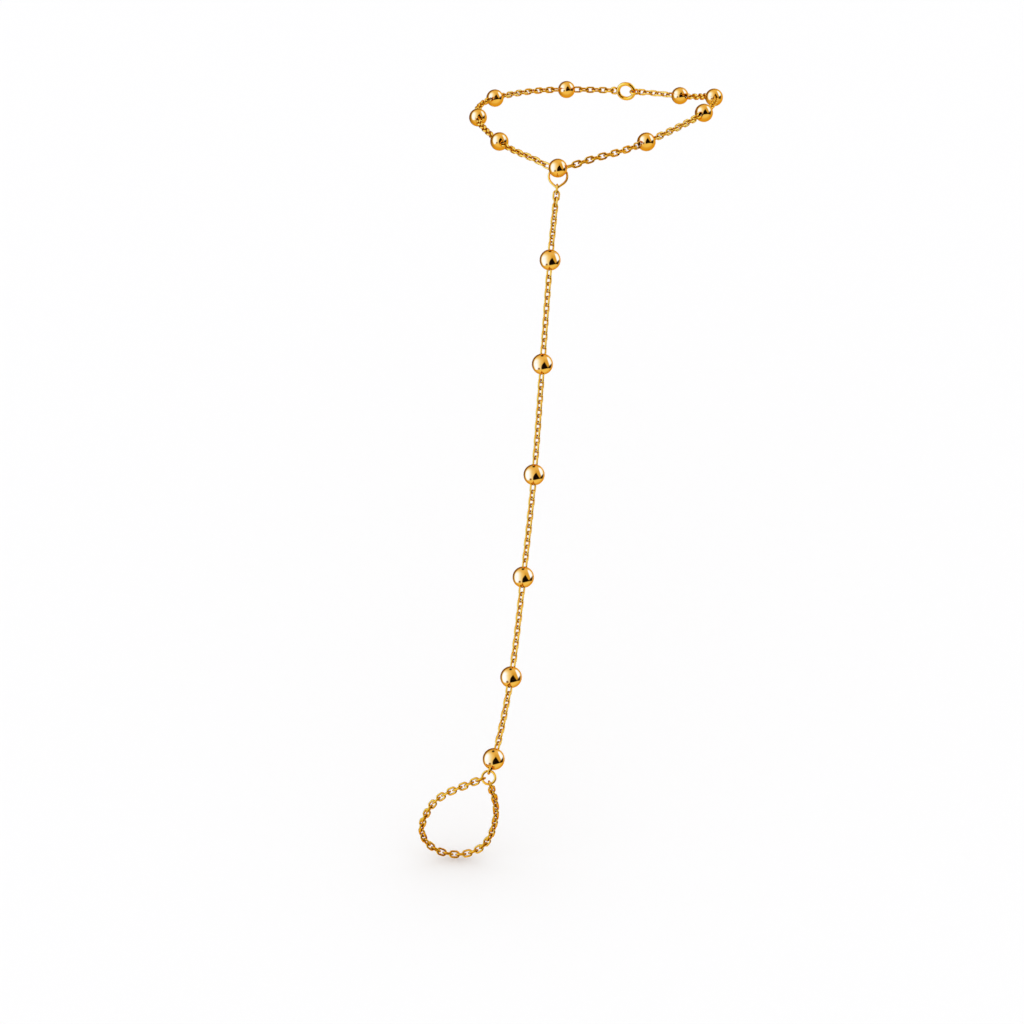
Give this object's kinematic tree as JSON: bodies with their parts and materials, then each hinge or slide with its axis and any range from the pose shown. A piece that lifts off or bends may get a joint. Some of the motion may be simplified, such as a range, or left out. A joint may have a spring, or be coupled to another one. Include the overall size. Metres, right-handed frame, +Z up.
{
  "type": "anklet",
  "caption": "Foot chain: beaded cable-chain loop for the ankle with a beaded chain down the instep to a plain chain loop for the second toe.",
  "frame": {"origin": "middle of the ankle loop, where the ankle goes through it", "axes": "+Z up, along the lower leg; -Y forwards, to the toes; +X to the right when looking along +Y"},
  "size_m": [0.0625, 0.1916, 0.1259],
  "materials": {
    "bead_metal": "mirror-polished yellow gold colour",
    "chain_metal": "polished yellow gold colour",
    "ring_metal": "polished yellow gold colour"
  },
  "bodies": {
    "root": {"centre_bead": "bead_metal", "ankle_bead_right_1": "bead_metal", "ankle_bead_right_2": "bead_metal", "ankle_bead_right_3": "bead_metal", "ankle_bead_right_4": "bead_metal", "ankle_bead_left_1": "bead_metal", "ankle_bead_left_2": "bead_metal", "ankle_bead_left_3": "bead_metal", "ankle_bead_left_4": "bead_metal", "instep_bead_1": "bead_metal", "instep_bead_2": "bead_metal", "instep_bead_3": "bead_metal", "instep_bead_4": "bead_metal", "instep_bead_5": "bead_metal", "instep_bead_6": "bead_metal", "ankle_chain_right": "chain_metal", "ankle_chain_left": "chain_metal", "instep_chain": "chain_metal", "toe_chain": "chain_metal", "clasp": "ring_metal", "clasp_end_ring": "ring_metal", "toe_jump_ring": "ring_metal"}
  },
  "joints": []
}
